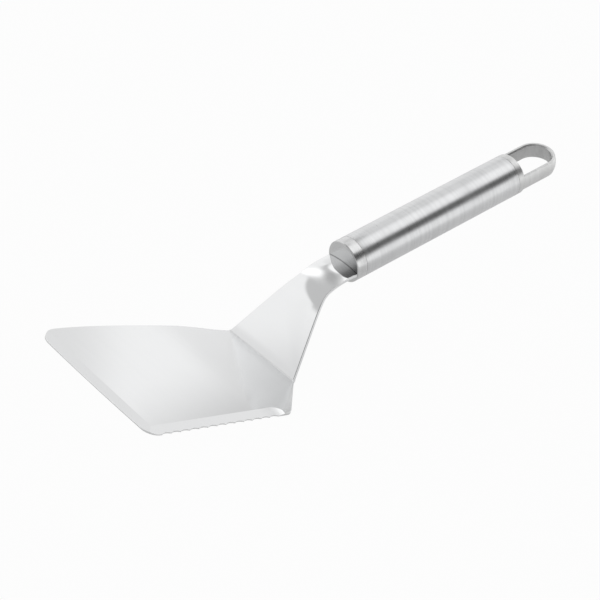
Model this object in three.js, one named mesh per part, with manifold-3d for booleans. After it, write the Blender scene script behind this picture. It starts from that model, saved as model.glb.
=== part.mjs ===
// A stainless serving spatula with a serrated side: a folded and ground sheet blade whose tang is
// cemented into a hollow round handle. Millimetres, +Z up. +X runs from the blade to the handle and
// the serrated edge is on the -Y side. The origin is under the middle of the spatula, on the table.

import * as THREE from 'three';
import { mergeGeometries, mergeVertices } from 'three/addons/utils/BufferGeometryUtils.js';
import Module from 'manifold-3d';

// Sheet and its two bends
const SHEET = 1.5;
const NECK_RISE = THREE.MathUtils.degToRad(65.6);
const HANDLE_RISE = THREE.MathUtils.degToRad(22.8);
const FOLD_RADIUS = 1.5; // inside the fold between blade and neck
const CREST_RADIUS = 26; // over the top of the bend between neck and shank
const NECK_LENGTH = 42.4; // from the fold line to the corner that the crest rounds off
const SHANK_LENGTH = 16.3; // from that corner to the ferrule

// Outline of the blade, measured from where the fold starts and from the handle's centre line
const BLADE_LENGTH = 99.8; // to the front corner on the serrated side
const FRONT_RAKE = 3.6; // the plain side's front corner lies this much further back
const FRONT_BOW = 0.55;
const SERRATED_SIDE = 43.2;
const PLAIN_SIDE = 38.8;
const SERRATED_CORNER_RADIUS = 6;
const PLAIN_CORNER_RADIUS = 9;
const FLARE_LENGTH = 30; // from the fold to where the plain side has flared out
const FLARE_SIDE = 31.8;
const FLARE_ANGLE = THREE.MathUtils.degToRad(10.6);
const FLARE_EASE = 15.6; // how far the flare's curve keeps that angle
const FOOT_ANGLE = THREE.MathUtils.degToRad(9);
const FOOT_EASE = 9.4;
const SHOULDER_ANGLE = THREE.MathUtils.degToRad(45);
const HEEL_RADIUS = 4;
const ARMPIT_RADIUS = 4; // where the shoulder meets the neck

// Outline of the neck, the shank and the tang
const NECK_WIDTH = 44.3; // at the fold
const NECK_TAPER_LENGTH = 38.8; // from the middle of the fold to the shank's full width
const SHANK_WIDTH = 18.8;
const WAIST_RADIUS = 18;
const TANG_WIDTH = 12;
const TANG_LENGTH = 36; // behind the ferrule's front face
const TANG_CORNER_RADIUS = 2;
const KEY_HOLE_DIAMETER = 5;
const KEY_HOLE_SETBACK = 11; // from the tang's end to the hole's centre

// Ground edges
const FRONT_GRIND = 4;
const FRONT_LIP = 0.6; // thickness that is left at the front edge
const SERRATED_GRIND = 5.3;
const SERRATED_LIP = 0.4;
const RUN_OUT_RADIUS = 4;
const GRIND_END = 22.8; // from the fold to the end of the serrated grind
const HEEL_PLAIN = 26.8; // from the fold to the last scallop
const TIP_PLAIN = 6.6; // from the front corner to the first scallop
const SCALLOP_PITCH = 5.1;
const SCALLOP_DEPTH = 0.75;

// Handle, along its own axis
const HANDLE_DIAMETER = 20;
const FERRULE_LENGTH = 5.55;
const FERRULE_EDGE_RADIUS = 0.6;
const TUBE_LENGTH = 94.4;
const TUBE_WALL = 1.2;
const TUBE_EDGE_BREAK = 0.15;
const FERRULE_SPIGOT_LENGTH = 9;
const CAP_SPIGOT_LENGTH = 10;
const COLLAR_LENGTH = 3.05;
const LOOP_LENGTH = 16.4; // from the collar to the centre of the loop's round end
const LOOP_THICKNESS = 7.6;
const LOOP_RIM = 1.55; // from the eye to the round side, on top of the loop
const EYE_EDGE_RADIUS = 1;
const CEMENT_COVER = 4; // behind the tang's end

// Clearances
const SEAM = 0.3; // between pieces that meet end to end
const FIT = 0.3; // between a piece and the bore or slot round it

// Smoothness and allowance for the cutting tools
const CURVE_STEPS = 8;
const ROUND_STEPS = 72;
const SCALLOP_STEPS = 48;
const FOLD_STEPS = 8;
const CREST_STEPS = 14;
const EDGE_STEPS = 4;
const DOME_STEPS = 14;
const OVERCUT = 5;
const SAME_PLACE = 1e-4;

const polishedSteel = new THREE.MeshStandardMaterial({ color: 0xd8dadb, roughness: 0.1, metalness: 1 });
const brightSteel = new THREE.MeshStandardMaterial({ color: 0xcfd1d2, roughness: 0.16, metalness: 1 });
const brushedSteel = new THREE.MeshStandardMaterial({ color: 0xbfc1c2, roughness: 0.36, metalness: 1 });
const satinSteel = new THREE.MeshStandardMaterial({ color: 0xc6c8c9, roughness: 0.3, metalness: 1 });
const castFilling = new THREE.MeshStandardMaterial({ color: 0x8c877d, roughness: 0.9, metalness: 0 });

const wasm = await Module();
wasm.setup();

// Keeps only the corners of a geometry, merged, without triangles that have shrunk to a line.
function weld(geometry) {
  const bare = new THREE.BufferGeometry();
  bare.setAttribute('position', geometry.getAttribute('position'));
  bare.setIndex(geometry.getIndex());
  const merged = mergeVertices(bare, SAME_PLACE);
  const corners = merged.getIndex().array;
  const kept = [];
  for (let i = 0; i < corners.length; i += 3) {
    const [a, b, c] = corners.slice(i, i + 3);
    if (a !== b && b !== c && c !== a) kept.push(a, b, c);
  }
  merged.setIndex(kept);
  return merged;
}

function solidOf(geometry) {
  const merged = weld(geometry);
  const vertProperties = new Float32Array(merged.getAttribute('position').array);
  const triVerts = new Uint32Array(merged.getIndex().array);
  return new wasm.Manifold(new wasm.Mesh({ numProp: 3, vertProperties, triVerts }));
}

function geometryOf(solid) {
  const mesh = solid.getMesh();
  const geometry = new THREE.BufferGeometry();
  geometry.setAttribute('position', new THREE.BufferAttribute(mesh.vertProperties, 3));
  geometry.setIndex(new THREE.BufferAttribute(mesh.triVerts, 1));
  return geometry;
}

// The arc that rounds a corner between two straight stretches.
function cornerArc(from, corner, next, radius) {
  const back = from.clone().sub(corner).normalize();
  const ahead = next.clone().sub(corner).normalize();
  const halfAngle = Math.acos(back.dot(ahead)) / 2;
  const setback = radius / Math.tan(halfAngle);
  const inward = back.clone().add(ahead).normalize();
  const start = corner.clone().addScaledVector(back, setback);
  const end = corner.clone().addScaledVector(ahead, setback);
  const centre = corner.clone().addScaledVector(inward, radius / Math.sin(halfAngle));
  return { start, end, centre, turnsRight: back.cross(ahead) > 0 };
}

// Draws a path up to a corner and round it, so that it goes on towards the next point.
function roundCorner(path, corner, next, radius) {
  const { start, end, centre, turnsRight } = cornerArc(path.currentPoint, corner, next, radius);
  const startAngle = start.clone().sub(centre).angle();
  const endAngle = end.clone().sub(centre).angle();
  path.lineTo(start.x, start.y);
  path.absarc(centre.x, centre.y, radius, startAngle, endAngle, turnsRight);
}

// The sheet's middle surface seen from the side, by developed length from the start of the fold
const foldMidRadius = FOLD_RADIUS + SHEET / 2;
const foldArc = foldMidRadius * NECK_RISE;
const crestTurn = NECK_RISE - HANDLE_RISE;
const crestMidRadius = CREST_RADIUS - SHEET / 2;
const crestSetback = CREST_RADIUS * Math.tan(crestTurn / 2);
const crestStart = foldArc + NECK_LENGTH - FOLD_RADIUS * Math.tan(NECK_RISE / 2) - crestSetback;
const crestEnd = crestStart + crestMidRadius * crestTurn;
const ferruleFace = crestEnd + SHANK_LENGTH - crestSetback;
const tangEnd = ferruleFace + TANG_LENGTH;

// Where a developed length lies once the sheet is bent, and how steeply it climbs there.
function bentStation(along) {
  if (along <= 0) return { x: along, z: SHEET / 2, slope: 0 };
  if (along <= foldArc) {
    const slope = along / foldMidRadius;
    const z = SHEET / 2 + foldMidRadius * (1 - Math.cos(slope));
    return { x: foldMidRadius * Math.sin(slope), z, slope };
  }
  if (along <= crestStart) return straightOn(bentStation(foldArc), along - foldArc);
  if (along <= crestEnd) {
    const start = bentStation(crestStart);
    const slope = start.slope - (along - crestStart) / crestMidRadius;
    const x = start.x + crestMidRadius * (Math.sin(start.slope) - Math.sin(slope));
    const z = start.z + crestMidRadius * (Math.cos(slope) - Math.cos(start.slope));
    return { x, z, slope };
  }
  return straightOn(bentStation(crestEnd), along - crestEnd);
}

function straightOn({ x, z, slope }, distance) {
  return { x: x + distance * Math.cos(slope), z: z + distance * Math.sin(slope), slope };
}

// A point of the flat sheet, at a height above its underside, carried to its place on the bent one.
function bentPoint(along, across, height) {
  const { x, z, slope } = bentStation(along);
  const offset = height - SHEET / 2;
  return new THREE.Vector3(x - Math.sin(slope) * offset, across, z + Math.cos(slope) * offset);
}

// The part of an outline that lies on one side of a station: side 1 keeps what is beyond it, -1 the rest.
function clip(outline, station, side) {
  const kept = [];
  outline.forEach((from, i) => {
    const to = outline[(i + 1) % outline.length];
    const fromInside = side * (from.x - station) >= 0;
    const toInside = side * (to.x - station) >= 0;
    if (fromInside) kept.push(from);
    if (fromInside !== toInside) kept.push(from.clone().lerp(to, (station - from.x) / (to.x - from.x)));
  });
  return kept;
}

// The flat sheet between two stations, as thick as the sheet.
function flatSlice(blank, start, end) {
  const { shape, holes } = blank.extractPoints(CURVE_STEPS);
  const slice = new THREE.Shape(clip(clip(shape, start, 1), end, -1));
  const inside = (hole) => hole.every(({ x }) => x > start && x < end);
  slice.holes = holes.filter(inside).map((hole) => new THREE.Path(hole));
  return new THREE.ExtrudeGeometry(slice, { depth: SHEET, bevelEnabled: false });
}

// Takes off the faces where a slice meets its neighbours.
function openEnds(geometry, start, end) {
  const slice = weld(geometry);
  const position = slice.getAttribute('position');
  const corners = slice.getIndex().array;
  const kept = [];
  for (let i = 0; i < corners.length; i += 3) {
    const triangle = [...corners.slice(i, i + 3)];
    const liesAt = (station) => triangle.every((c) => Math.abs(position.getX(c) - station) < SAME_PLACE);
    if (!liesAt(start) && !liesAt(end)) kept.push(...triangle);
  }
  slice.setIndex(kept);
  return slice;
}

// Bends the flat sheet: sliced at each step of its two bends, it has every corner carried to its place.
function bentSheet(blank, grindBlade) {
  const stations = [];
  for (let i = 0; i <= FOLD_STEPS; i++) stations.push((foldArc * i) / FOLD_STEPS);
  for (let i = 0; i <= CREST_STEPS; i++) stations.push(crestStart + ((crestEnd - crestStart) * i) / CREST_STEPS);
  stations.push(tangEnd + OVERCUT);
  const front = -BLADE_LENGTH - OVERCUT;
  const slices = [openEnds(grindBlade(flatSlice(blank, front, 0)), front, 0)];
  for (let i = 1; i < stations.length; i++) {
    const [start, end] = [stations[i - 1], stations[i]];
    slices.push(openEnds(flatSlice(blank, start, end), start, end));
  }
  const sheet = weld(mergeGeometries(slices));
  const position = sheet.getAttribute('position');
  for (let i = 0; i < position.count; i++) {
    const place = bentPoint(position.getX(i), position.getY(i), position.getZ(i));
    position.setXYZ(i, place.x, place.y, place.z);
  }
  return sheet;
}

const point = (along, across) => new THREE.Vector2(along, across);
const nearFrontCorner = point(-BLADE_LENGTH, -SERRATED_SIDE);
const farFrontCorner = point(FRONT_RAKE - BLADE_LENGTH, PLAIN_SIDE);

// The flat blank before bending, drawn from the tang's end along the serrated side and back.
function blankOutline() {
  const foldMiddle = foldArc / 2;
  const shankShoulder = ferruleFace - SEAM;
  const waist = foldMiddle + NECK_TAPER_LENGTH;
  const neckFoot = point(foldMiddle, -NECK_WIDTH / 2);
  const shoulderDrop = SERRATED_SIDE - NECK_WIDTH / 2;
  const heel = point(foldMiddle - shoulderDrop / Math.tan(SHOULDER_ANGLE), -SERRATED_SIDE);
  const frontMiddle = nearFrontCorner.clone().lerp(farFrontCorner, 0.5);
  frontMiddle.x -= 2 * FRONT_BOW;
  const plainSide = point(-FLARE_LENGTH, PLAIN_SIDE);

  const outline = new THREE.Shape();
  outline.moveTo(tangEnd, 0);
  roundCorner(outline, point(tangEnd, -TANG_WIDTH / 2), point(shankShoulder, -TANG_WIDTH / 2), TANG_CORNER_RADIUS);
  outline.lineTo(shankShoulder, -TANG_WIDTH / 2);
  outline.lineTo(shankShoulder, -SHANK_WIDTH / 2);
  roundCorner(outline, point(waist, -SHANK_WIDTH / 2), neckFoot, WAIST_RADIUS);
  roundCorner(outline, neckFoot, heel, ARMPIT_RADIUS);
  roundCorner(outline, heel, nearFrontCorner, HEEL_RADIUS);
  roundCorner(outline, nearFrontCorner, frontMiddle, SERRATED_CORNER_RADIUS);
  const frontEnd = cornerArc(frontMiddle, farFrontCorner, plainSide, PLAIN_CORNER_RADIUS).start;
  outline.quadraticCurveTo(frontMiddle.x, frontMiddle.y, frontEnd.x, frontEnd.y);
  roundCorner(outline, farFrontCorner, plainSide, PLAIN_CORNER_RADIUS);
  drawPlainSide(outline, point(foldMiddle, NECK_WIDTH / 2));
  roundCorner(outline, point(waist, SHANK_WIDTH / 2), point(shankShoulder, SHANK_WIDTH / 2), WAIST_RADIUS);
  outline.lineTo(shankShoulder, SHANK_WIDTH / 2);
  outline.lineTo(shankShoulder, TANG_WIDTH / 2);
  roundCorner(outline, point(tangEnd, TANG_WIDTH / 2), point(tangEnd, 0), TANG_CORNER_RADIUS);
  outline.closePath();

  const keyHole = new THREE.Path();
  keyHole.absarc(tangEnd - KEY_HOLE_SETBACK, 0, KEY_HOLE_DIAMETER / 2, 0, 2 * Math.PI);
  outline.holes.push(keyHole);
  return outline;
}

// The plain side: a long gentle curve, then the flare that draws in to the neck.
function drawPlainSide(outline, neckFoot) {
  const flare = point(-FLARE_LENGTH, FLARE_SIDE);
  const meet = flare.x - (PLAIN_SIDE - FLARE_SIDE) / Math.tan(FLARE_ANGLE);
  outline.quadraticCurveTo(meet, PLAIN_SIDE, flare.x, flare.y);
  outline.bezierCurveTo(
    flare.x + FLARE_EASE, flare.y - FLARE_EASE * Math.tan(FLARE_ANGLE),
    neckFoot.x - FOOT_EASE, neckFoot.y + FOOT_EASE * Math.tan(FOOT_ANGLE),
    neckFoot.x, neckFoot.y,
  );
}

// A wedge to grind an edge with: it leaves the lip at the edge and runs out at the sheet's top.
function grindingWedge(width, lip, length, edgeStart, inward) {
  const rise = (SHEET - lip) / width;
  const section = new THREE.Shape();
  section.moveTo(-OVERCUT, lip - rise * OVERCUT);
  section.lineTo(width + OVERCUT, SHEET + rise * OVERCUT);
  section.lineTo(-OVERCUT, SHEET + rise * OVERCUT);
  section.closePath();
  const up = new THREE.Vector3(0, 0, 1);
  const alongEdge = new THREE.Vector3().crossVectors(inward, up);
  const place = new THREE.Matrix4().makeBasis(inward, up, alongEdge);
  place.setPosition(edgeStart.x, edgeStart.y, 0);
  const wedge = new THREE.ExtrudeGeometry(section, { depth: length, bevelEnabled: false });
  return solidOf(wedge.applyMatrix4(place));
}

function frontGrind() {
  const edge = nearFrontCorner.clone().sub(farFrontCorner);
  const ahead = edge.clone().normalize();
  const start = farFrontCorner.clone().addScaledVector(ahead, -OVERCUT);
  const inward = new THREE.Vector3(-ahead.y, ahead.x, 0);
  return grindingWedge(FRONT_GRIND, FRONT_LIP, edge.length() + 2 * OVERCUT, start, inward);
}

// The serrated side's wedge, ended by the round face of the wheel near the heel.
function serratedGrind() {
  const start = nearFrontCorner.clone().add(point(-OVERCUT, 0));
  const length = BLADE_LENGTH - GRIND_END + OVERCUT;
  const wedge = grindingWedge(SERRATED_GRIND, SERRATED_LIP, length + OVERCUT, start, new THREE.Vector3(0, 1, 0));
  const outside = -SERRATED_SIDE - OVERCUT;
  const inside = -SERRATED_SIDE + SERRATED_GRIND;
  const wheelPath = new THREE.Shape();
  wheelPath.moveTo(start.x, inside + OVERCUT);
  wheelPath.lineTo(start.x, outside);
  wheelPath.lineTo(-GRIND_END, outside);
  wheelPath.lineTo(-GRIND_END, inside - RUN_OUT_RADIUS);
  wheelPath.absarc(-GRIND_END - RUN_OUT_RADIUS, inside - RUN_OUT_RADIUS, RUN_OUT_RADIUS, 0, Math.PI / 2);
  wheelPath.lineTo(-GRIND_END - RUN_OUT_RADIUS, inside + OVERCUT);
  wheelPath.closePath();
  const depth = SHEET + 2 * OVERCUT;
  const reach = new THREE.ExtrudeGeometry(wheelPath, { depth, bevelEnabled: false, curveSegments: CURVE_STEPS });
  return wedge.intersect(solidOf(reach.translate(0, 0, -OVERCUT)));
}

// Round cutters in a row leave scallops between the teeth.
function scallopCutters() {
  const radius = (SCALLOP_PITCH ** 2 / 4 + SCALLOP_DEPTH ** 2) / (2 * SCALLOP_DEPTH);
  const first = -BLADE_LENGTH + TIP_PLAIN;
  const count = Math.floor((-HEEL_PLAIN - first) / SCALLOP_PITCH);
  const across = -SERRATED_SIDE + SCALLOP_DEPTH - radius;
  const cutters = [];
  for (let i = 0; i < count; i++) {
    const cutter = new THREE.CylinderGeometry(radius, radius, SHEET + 2 * OVERCUT, SCALLOP_STEPS);
    cutter.rotateX(Math.PI / 2);
    cutter.translate(first + (i + 0.5) * SCALLOP_PITCH, across, 0);
    cutters.push(solidOf(cutter));
  }
  return cutters;
}

function grindBlade(flatBlade) {
  let blade = solidOf(flatBlade);
  for (const cutter of [frontGrind(), serratedGrind(), ...scallopCutters()]) blade = blade.subtract(cutter);
  return geometryOf(blade);
}

function makeBlade() {
  return pieceOf('blade', bentSheet(blankOutline(), grindBlade), polishedSteel);
}

// Places along the handle's axis, from the ferrule's front face
const handleRadius = HANDLE_DIAMETER / 2;
const boreRadius = handleRadius - TUBE_WALL;
const spigotRadius = boreRadius - FIT;
const tubeStart = FERRULE_LENGTH + SEAM;
const tubeEnd = tubeStart + TUBE_LENGTH;
const capStart = tubeEnd + SEAM;
const collarEnd = capStart + COLLAR_LENGTH;
const loopCentre = collarEnd + LOOP_LENGTH;
const eyeRadius = Math.sqrt(handleRadius ** 2 - (LOOP_THICKNESS / 2) ** 2) - LOOP_RIM;

// A turned piece: a profile of radius against length, revolved about the handle's axis.
function turned(profile) {
  const points = profile.map(([along, radius]) => new THREE.Vector2(radius, along));
  const lathe = new THREE.LatheGeometry(points, ROUND_STEPS);
  return weld(lathe.rotateZ(-Math.PI / 2));
}

// Points of a quarter round in a turned profile, from one angle to another about its centre.
function profileArc(along, radius, size, from, to, steps) {
  const points = [];
  for (let i = 0; i <= steps; i++) {
    const angle = from + ((to - from) * i) / steps;
    points.push([along + size * Math.cos(angle), radius + size * Math.sin(angle)]);
  }
  return points;
}

function pieceOf(name, geometry, material) {
  const piece = new THREE.Mesh(geometry, material);
  piece.name = name;
  return piece;
}

// The tang's space in a piece round it, widened by the fit; the sheet's top lies on the handle's axis.
function tangSpace(start, end, holeRadius) {
  const half = TANG_WIDTH / 2 + FIT;
  const plan = new THREE.Shape();
  plan.moveTo(start, -half);
  plan.lineTo(end, -half);
  plan.lineTo(end, half);
  plan.lineTo(start, half);
  plan.closePath();
  if (holeRadius > 0) {
    const hole = new THREE.Path();
    hole.absarc(TANG_LENGTH - KEY_HOLE_SETBACK, 0, holeRadius, 0, 2 * Math.PI);
    plan.holes.push(hole);
  }
  const depth = SHEET + 2 * FIT;
  const space = new THREE.ExtrudeGeometry(plan, { depth, bevelEnabled: false, curveSegments: CURVE_STEPS });
  return solidOf(space.translate(0, 0, -SHEET - FIT));
}

function makeFerrule() {
  const edge = FERRULE_EDGE_RADIUS;
  const spigotEnd = FERRULE_LENGTH + FERRULE_SPIGOT_LENGTH;
  const profile = [
    [0, 0],
    ...profileArc(edge, handleRadius - edge, edge, Math.PI, Math.PI / 2, EDGE_STEPS),
    [FERRULE_LENGTH, handleRadius],
    [FERRULE_LENGTH, spigotRadius],
    [spigotEnd, spigotRadius],
    [spigotEnd, 0],
  ];
  const slot = tangSpace(-OVERCUT, spigotEnd + OVERCUT, 0);
  const ferrule = solidOf(turned(profile)).subtract(slot);
  return pieceOf('front_ferrule', geometryOf(ferrule), brightSteel);
}

function makeTube() {
  const profile = [
    [tubeStart, boreRadius],
    [tubeStart, handleRadius - TUBE_EDGE_BREAK],
    [tubeStart + TUBE_EDGE_BREAK, handleRadius],
    [tubeEnd - TUBE_EDGE_BREAK, handleRadius],
    [tubeEnd, handleRadius - TUBE_EDGE_BREAK],
    [tubeEnd, boreRadius],
    [tubeStart, boreRadius],
  ];
  return pieceOf('handle_tube', turned(profile), brushedSteel);
}

// The hanging loop's flat plate, wider than the handle, with the eye cut through and its edges eased.
function loopPlate() {
  const ease = EYE_EDGE_RADIUS;
  const halfWidth = handleRadius + OVERCUT;
  const plan = new THREE.Shape();
  plan.moveTo(collarEnd - OVERCUT, -halfWidth);
  plan.lineTo(loopCentre + halfWidth, -halfWidth);
  plan.lineTo(loopCentre + halfWidth, halfWidth);
  plan.lineTo(collarEnd - OVERCUT, halfWidth);
  plan.closePath();
  const eye = new THREE.Path();
  eye.moveTo(collarEnd, eyeRadius);
  eye.lineTo(collarEnd, -eyeRadius);
  eye.absarc(loopCentre, 0, eyeRadius, -Math.PI / 2, Math.PI / 2);
  eye.closePath();
  plan.holes.push(eye);
  const plate = new THREE.ExtrudeGeometry(plan, {
    depth: LOOP_THICKNESS - 2 * ease,
    bevelThickness: ease,
    bevelSize: ease,
    bevelOffset: -ease,
    bevelSegments: EDGE_STEPS,
    curveSegments: 2 * CURVE_STEPS,
  });
  return solidOf(plate.translate(0, 0, ease - LOOP_THICKNESS / 2));
}

// The end cap is turned with a round nose, then its nose is milled to the loop's flat plate.
function makeEndCap() {
  const spigotStart = capStart - CAP_SPIGOT_LENGTH;
  const profile = [
    [spigotStart, 0],
    [spigotStart, spigotRadius],
    [capStart, spigotRadius],
    [capStart, handleRadius],
    ...profileArc(loopCentre, 0, handleRadius, Math.PI / 2, 0, DOME_STEPS),
  ];
  const collarLength = collarEnd - spigotStart + OVERCUT;
  const collarBlock = new THREE.BoxGeometry(collarLength, 2 * HANDLE_DIAMETER, 2 * HANDLE_DIAMETER);
  collarBlock.translate(collarEnd - collarLength / 2, 0, 0);
  const kept = solidOf(collarBlock).add(loopPlate());
  return pieceOf('end_cap', geometryOf(solidOf(turned(profile)).intersect(kept)), satinSteel);
}

function makeCement() {
  const start = FERRULE_LENGTH + FERRULE_SPIGOT_LENGTH + FIT;
  const end = TANG_LENGTH + CEMENT_COVER;
  const profile = [
    [start, 0],
    [start, spigotRadius],
    [end, spigotRadius],
    [end, 0],
  ];
  const pocket = tangSpace(start - OVERCUT, TANG_LENGTH + FIT, KEY_HOLE_DIAMETER / 2 - FIT);
  return pieceOf('tang_cement', geometryOf(solidOf(turned(profile)).subtract(pocket)), castFilling);
}

function makeHandle() {
  const handle = new THREE.Group();
  handle.add(makeFerrule(), makeTube(), makeEndCap(), makeCement());
  handle.position.copy(bentPoint(ferruleFace, 0, SHEET));
  handle.rotation.y = -HANDLE_RISE;
  return handle;
}

const spatula = new THREE.Group();
spatula.add(makeBlade(), makeHandle());
spatula.updateMatrixWorld(true);
const box = new THREE.Box3().setFromObject(spatula, true);
const middle = box.getCenter(new THREE.Vector3());
spatula.position.set(-middle.x, -middle.y, -box.min.z);

export default spatula;
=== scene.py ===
# %% [markdown]
# # A stainless serving spatula
#
# The spatula is one polished sheet, folded and ground, whose tail is fixed in a hollow round handle.
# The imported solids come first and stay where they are. Each visible piece is then made again with finer
# edges and curves, in the same place, and the solid that it stands for is hidden. Only the filling
# inside the handle keeps its solid.

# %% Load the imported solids
import math

import bmesh
import bpy
from mathutils import Matrix, Vector


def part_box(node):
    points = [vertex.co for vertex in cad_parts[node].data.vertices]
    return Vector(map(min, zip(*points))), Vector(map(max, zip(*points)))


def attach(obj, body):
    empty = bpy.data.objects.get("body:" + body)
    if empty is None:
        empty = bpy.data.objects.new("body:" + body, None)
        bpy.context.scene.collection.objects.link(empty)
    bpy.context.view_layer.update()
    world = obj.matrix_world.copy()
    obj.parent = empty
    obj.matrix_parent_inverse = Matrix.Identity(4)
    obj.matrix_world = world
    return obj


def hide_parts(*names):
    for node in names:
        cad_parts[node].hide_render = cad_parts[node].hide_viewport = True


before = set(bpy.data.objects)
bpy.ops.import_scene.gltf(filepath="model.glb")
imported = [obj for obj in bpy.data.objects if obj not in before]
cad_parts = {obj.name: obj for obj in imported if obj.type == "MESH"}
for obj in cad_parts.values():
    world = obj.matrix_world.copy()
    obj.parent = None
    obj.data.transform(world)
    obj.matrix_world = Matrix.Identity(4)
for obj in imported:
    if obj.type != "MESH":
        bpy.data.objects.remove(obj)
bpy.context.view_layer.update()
scene = bpy.context.scene
scene.view_settings.view_transform = "Standard"
MM = 0.001
print("solids:", sorted(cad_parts))

# %% [markdown]
# ## Camera
# A long lens from a metre away gives the flat perspective of a product picture. The camera could be aimed
# with a Track To constraint, but three plain turns say more: how far round it stands, how high it looks
# from, and how much it leans, which is why the handle climbs to the upper right.

# %% Set the camera
CAMERA_PLACE = Vector((-0.72195, -0.5738, 0.41906))
CAMERA_ROUND = math.radians(-50.89)
CAMERA_HEIGHT = math.radians(23.15)
CAMERA_LEAN = math.radians(19.57)
LENS_LENGTH, SENSOR_WIDTH = 135, 36

lens = bpy.data.cameras.new("product_lens")
lens.lens = LENS_LENGTH
lens.sensor_width = SENSOR_WIDTH
camera = bpy.data.objects.new("product_camera", lens)
turns = Matrix.Rotation(CAMERA_ROUND, 4, "Z")
turns @= Matrix.Rotation(math.pi / 2 - CAMERA_HEIGHT, 4, "X")
turns @= Matrix.Rotation(CAMERA_LEAN, 4, "Z")
camera.matrix_world = Matrix.Translation(CAMERA_PLACE) @ turns
scene.collection.objects.link(camera)
scene.camera = camera
print("camera looks from", tuple(round(c, 3) for c in camera.location))

# %% [markdown]
# ## Node helpers
# Materials are graphs, and graphs written out node by node are long. A few small helpers add a node, set
# its values and wire its inputs in one line, so that what stays in view is the idea of each finish.


# %% Helpers for node graphs
def new_material(name):
    """A material with an empty graph."""
    material = bpy.data.materials.new(name)
    material.use_nodes = True
    material.node_tree.nodes.clear()
    return material


def add_node(tree, kind, inputs=None, **settings):
    """Add a node; an input may be a value or another node's output socket."""
    node = tree.nodes.new("ShaderNode" + kind)
    for name, value in settings.items():
        setattr(node, name, value)
    for name, value in (inputs or {}).items():
        if isinstance(value, bpy.types.NodeSocket):
            tree.links.new(value, node.inputs[name])
        else:
            node.inputs[name].default_value = value
    return node


def calc(tree, operation, first, second):
    """A Math node's result."""
    return add_node(tree, "Math", {0: first, 1: second}, operation=operation).outputs[0]


def ease(tree, value, start, end, low=0.0, high=1.0):
    """A smooth ramp from low to high while value goes from start to end."""
    sockets = {0: value, 1: start, 2: end, 3: low, 4: high}
    return add_node(tree, "MapRange", sockets, interpolation_type="SMOOTHSTEP").outputs[0]


def blend(tree, share, first, second, way="MIX"):
    """Two colours mixed; a Mix node takes colours at sockets 6 and 7 and gives one at output 2."""
    sockets = {0: share, 6: first, 7: second}
    return add_node(tree, "Mix", sockets, data_type="RGBA", blend_type=way).outputs[2]


def new_group(name, inputs, outputs):
    """A shader node group with a place and float sockets, and its input and output nodes."""
    group = bpy.data.node_groups.new(name, "ShaderNodeTree")
    sockets = group.interface
    sockets.new_socket("Place", in_out="INPUT", socket_type="NodeSocketVector")
    for socket, value in inputs.items():
        sockets.new_socket(socket, in_out="INPUT", socket_type="NodeSocketFloat").default_value = value
    for socket in outputs:
        sockets.new_socket(socket, in_out="OUTPUT", socket_type="NodeSocketFloat")
    return group, group.nodes.new("NodeGroupInput"), group.nodes.new("NodeGroupOutput")


print("node helpers ready")

# %% [markdown]
# ## Floor
# Metal shows what is round it, so the floor is part of the look. It is plain and pale. For the camera, and
# less for reflections, a share of it glows at a strength of 1, which makes it read as white paper. The
# rest is a matt surface that still takes the spatula's soft shadow.

# %% Lay the floor
FLOOR_HALF = 4.0
FLOOR_DROP = 0.02 * MM

floor_mesh = bpy.data.meshes.new("floor")
corners = [(-1, -1), (1, -1), (1, 1), (-1, 1)]
floor_mesh.from_pydata([(x * FLOOR_HALF, y * FLOOR_HALF, 0) for x, y in corners], [], [(0, 1, 2, 3)])
floor = bpy.data.objects.new("floor", floor_mesh)
floor.location.z = -FLOOR_DROP
scene.collection.objects.link(floor)
print("floor", 2 * FLOOR_HALF, "m wide")

# %% Make its paper
PAPER_GREY = (0.76, 0.76, 0.76, 1)
WHITE = (1, 1, 1, 1)
SEEN_GLOW = 0.95

# in metres, how far off the mirrored glow rises from its near value to its far one
GLOW_RISES_FROM, GLOW_RISES_TO = 0.05, 0.9
NEAR_GLOW, FAR_GLOW = 0.35, 0.8

paper = new_material("white_paper")
tree = paper.node_tree
path = add_node(tree, "LightPath")
mirrored = calc(tree, "MAXIMUM", path.outputs["Is Glossy Ray"], path.outputs["Is Transmission Ray"])
spot = add_node(tree, "NewGeometry").outputs["Position"]
distance = add_node(tree, "VectorMath", {0: spot}, operation="LENGTH").outputs["Value"]
mirrored_glow = ease(tree, distance, GLOW_RISES_FROM, GLOW_RISES_TO, NEAR_GLOW, FAR_GLOW)
mirrored = calc(tree, "MULTIPLY", mirrored, mirrored_glow)
seen = calc(tree, "MULTIPLY", path.outputs["Is Camera Ray"], SEEN_GLOW)
share = calc(tree, "MAXIMUM", seen, mirrored)
matt = add_node(tree, "BsdfDiffuse", {"Color": PAPER_GREY})
glow = add_node(tree, "Emission", {"Color": WHITE, "Strength": 1.0})
mixed = add_node(tree, "MixShader", {0: share, 1: matt.outputs[0], 2: glow.outputs[0]})
add_node(tree, "OutputMaterial", {"Surface": mixed.outputs[0]})
floor_mesh.materials.append(paper)
print("paper has", len(tree.nodes), "nodes")

# %% [markdown]
# ## Studio light
# A polished blade has hardly any colour of its own, so the studio is what the picture shows of it. Real
# studios surround metal with white cards and leave a dark gap for contrast. Lamps and planes could do it,
# but a World graph on the ray's direction is smooth and has no noise. It has a big white panel on the far
# side, round cards with soft edges, a bright ceiling, a near panel, the dark room behind the camera, and
# a gap along the handle. The gap is short, so that it darkens the handle and spares the neck.

# %% Start the studio
HANDLE_RISE = math.radians(22.8)
along_handle = Vector((math.cos(HANDLE_RISE), 0, math.sin(HANDLE_RISE)))
world = bpy.data.worlds.new("white_studio")
scene.world = world
world.use_nodes = True
tree = world.node_tree
tree.nodes.clear()
ray = add_node(tree, "TexCoord").outputs["Generated"]


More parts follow.
